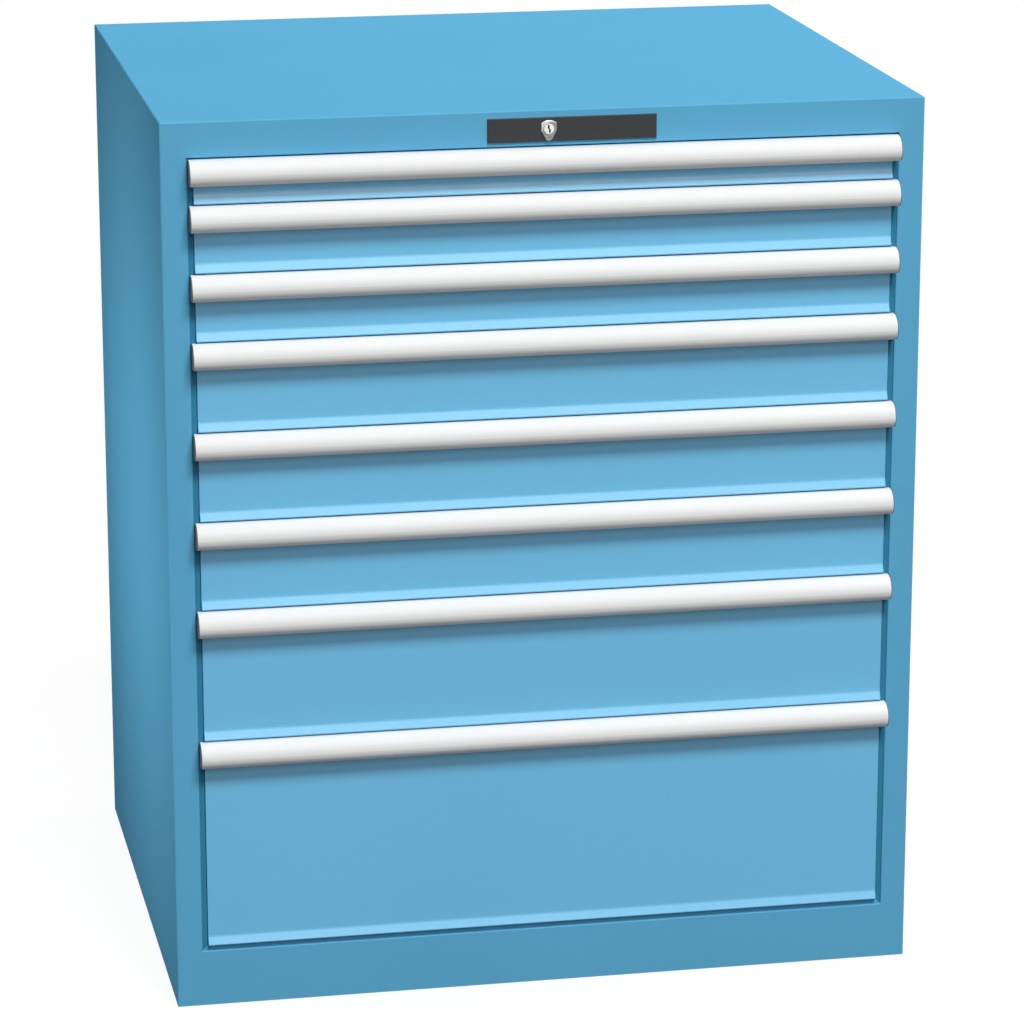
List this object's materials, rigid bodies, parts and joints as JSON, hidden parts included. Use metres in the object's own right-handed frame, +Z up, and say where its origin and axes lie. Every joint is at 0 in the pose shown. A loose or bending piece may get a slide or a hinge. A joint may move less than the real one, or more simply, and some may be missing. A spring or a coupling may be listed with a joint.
{
  "type": "drawer cabinet",
  "caption": "Floor-standing workshop drawer cabinet: sheet-steel housing, drawers of graded height on full-extension roller slides with full-width grip rails, and one lock for all of them.",
  "frame": {"origin": "on the floor, under the middle of the closed cabinet's envelope, grip rails included", "axes": "+X to the right seen from the front, +Y from the drawer fronts to the back panel, +Z up"},
  "size_m": [0.84, 0.7, 1],
  "materials": {
    "housing_paint": "satin powder coat",
    "front_paint": "satin powder coat",
    "box_paint": "satin powder coat",
    "grip_anodised": "satin anodised",
    "cap_plastic": "fine moulded grain",
    "rail_zinc": "zinc plated",
    "post_zinc": "galvanised",
    "roller_plastic": "moulded",
    "plate_plastic": "fine moulded grain",
    "lock_nickel": "satin nickel"
  },
  "bodies": {
    "cabinet": {"front_frame": "housing_paint", "left_side_panel": "housing_paint", "right_side_panel": "housing_paint", "top_panel": "housing_paint", "back_panel": "housing_paint", "base_pan": "housing_paint", "slotted_posts": "post_zinc", "cabinet_rails": "rail_zinc", "lock_plate": "plate_plastic", "lock_housing": "lock_nickel"},
    "lock_cylinder": {"lock_cylinder": "lock_nickel"},
    "lock_bar": {"lock_bar": "rail_zinc"},
    "drawer_1": {"drawer_1_box": "box_paint", "drawer_1_front": "front_paint", "drawer_1_grip_rail": "grip_anodised", "drawer_1_grip_caps": "cap_plastic"},
    "slide_1": {"drawer_1_middle_rails": "rail_zinc", "drawer_1_rollers": "roller_plastic"},
    "drawer_2": {"drawer_2_box": "box_paint", "drawer_2_front": "front_paint", "drawer_2_grip_rail": "grip_anodised", "drawer_2_grip_caps": "cap_plastic"},
    "slide_2": {"drawer_2_middle_rails": "rail_zinc", "drawer_2_rollers": "roller_plastic"},
    "drawer_3": {"drawer_3_box": "box_paint", "drawer_3_front": "front_paint", "drawer_3_grip_rail": "grip_anodised", "drawer_3_grip_caps": "cap_plastic"},
    "slide_3": {"drawer_3_middle_rails": "rail_zinc", "drawer_3_rollers": "roller_plastic"},
    "drawer_4": {"drawer_4_box": "box_paint", "drawer_4_front": "front_paint", "drawer_4_grip_rail": "grip_anodised", "drawer_4_grip_caps": "cap_plastic"},
    "slide_4": {"drawer_4_middle_rails": "rail_zinc", "drawer_4_rollers": "roller_plastic"},
    "drawer_5": {"drawer_5_box": "box_paint", "drawer_5_front": "front_paint", "drawer_5_grip_rail": "grip_anodised", "drawer_5_grip_caps": "cap_plastic"},
    "slide_5": {"drawer_5_middle_rails": "rail_zinc", "drawer_5_rollers": "roller_plastic"},
    "drawer_6": {"drawer_6_box": "box_paint", "drawer_6_front": "front_paint", "drawer_6_grip_rail": "grip_anodised", "drawer_6_grip_caps": "cap_plastic"},
    "slide_6": {"drawer_6_middle_rails": "rail_zinc", "drawer_6_rollers": "roller_plastic"},
    "drawer_7": {"drawer_7_box": "box_paint", "drawer_7_front": "front_paint", "drawer_7_grip_rail": "grip_anodised", "drawer_7_grip_caps": "cap_plastic"},
    "slide_7": {"drawer_7_middle_rails": "rail_zinc", "drawer_7_rollers": "roller_plastic"},
    "drawer_8": {"drawer_8_box": "box_paint", "drawer_8_front": "front_paint", "drawer_8_grip_rail": "grip_anodised", "drawer_8_grip_caps": "cap_plastic"},
    "slide_8": {"drawer_8_middle_rails": "rail_zinc", "drawer_8_rollers": "roller_plastic"}
  },
  "joints": [
    {"name": "drawer_1_pull", "type": "slide", "parent": "cabinet", "child": "drawer_1", "axis": [0, -1, 0], "range_m": [0, 0.6]},
    {"name": "slide_1_run", "type": "slide", "parent": "cabinet", "child": "slide_1", "axis": [0, -1, 0], "range_m": [0, 0.3]},
    {"name": "drawer_2_pull", "type": "slide", "parent": "cabinet", "child": "drawer_2", "axis": [0, -1, 0], "range_m": [0, 0.6]},
    {"name": "slide_2_run", "type": "slide", "parent": "cabinet", "child": "slide_2", "axis": [0, -1, 0], "range_m": [0, 0.3]},
    {"name": "drawer_3_pull", "type": "slide", "parent": "cabinet", "child": "drawer_3", "axis": [0, -1, 0], "range_m": [0, 0.6]},
    {"name": "slide_3_run", "type": "slide", "parent": "cabinet", "child": "slide_3", "axis": [0, -1, 0], "range_m": [0, 0.3]},
    {"name": "drawer_4_pull", "type": "slide", "parent": "cabinet", "child": "drawer_4", "axis": [0, -1, 0], "range_m": [0, 0.6]},
    {"name": "slide_4_run", "type": "slide", "parent": "cabinet", "child": "slide_4", "axis": [0, -1, 0], "range_m": [0, 0.3]},
    {"name": "drawer_5_pull", "type": "slide", "parent": "cabinet", "child": "drawer_5", "axis": [0, -1, 0], "range_m": [0, 0.6]},
    {"name": "slide_5_run", "type": "slide", "parent": "cabinet", "child": "slide_5", "axis": [0, -1, 0], "range_m": [0, 0.3]},
    {"name": "drawer_6_pull", "type": "slide", "parent": "cabinet", "child": "drawer_6", "axis": [0, -1, 0], "range_m": [0, 0.6]},
    {"name": "slide_6_run", "type": "slide", "parent": "cabinet", "child": "slide_6", "axis": [0, -1, 0], "range_m": [0, 0.3]},
    {"name": "drawer_7_pull", "type": "slide", "parent": "cabinet", "child": "drawer_7", "axis": [0, -1, 0], "range_m": [0, 0.6]},
    {"name": "slide_7_run", "type": "slide", "parent": "cabinet", "child": "slide_7", "axis": [0, -1, 0], "range_m": [0, 0.3]},
    {"name": "drawer_8_pull", "type": "slide", "parent": "cabinet", "child": "drawer_8", "axis": [0, -1, 0], "range_m": [0, 0.6]},
    {"name": "slide_8_run", "type": "slide", "parent": "cabinet", "child": "slide_8", "axis": [0, -1, 0], "range_m": [0, 0.3]},
    {"name": "lock_turn", "type": "hinge", "parent": "cabinet", "child": "lock_cylinder", "pos_m": [0, -0.33, 0.98], "axis": [0, 1, 0], "range_deg": [0, 90]},
    {"name": "lock_bar_shift", "type": "slide", "parent": "cabinet", "child": "lock_bar", "axis": [-1, 0, 0], "range_m": [0, 0.01414]}
  ],
  "couplings": [
    {"joint": "slide_1_run", "follows": "drawer_1_pull", "ratio": 0.5},
    {"joint": "slide_2_run", "follows": "drawer_2_pull", "ratio": 0.5},
    {"joint": "slide_3_run", "follows": "drawer_3_pull", "ratio": 0.5},
    {"joint": "slide_4_run", "follows": "drawer_4_pull", "ratio": 0.5},
    {"joint": "slide_5_run", "follows": "drawer_5_pull", "ratio": 0.5},
    {"joint": "slide_6_run", "follows": "drawer_6_pull", "ratio": 0.5},
    {"joint": "slide_7_run", "follows": "drawer_7_pull", "ratio": 0.5},
    {"joint": "slide_8_run", "follows": "drawer_8_pull", "ratio": 0.5},
    {"joint": "lock_turn", "follows": "lock_bar_shift", "rad_per_m": 111.07}
  ]
}
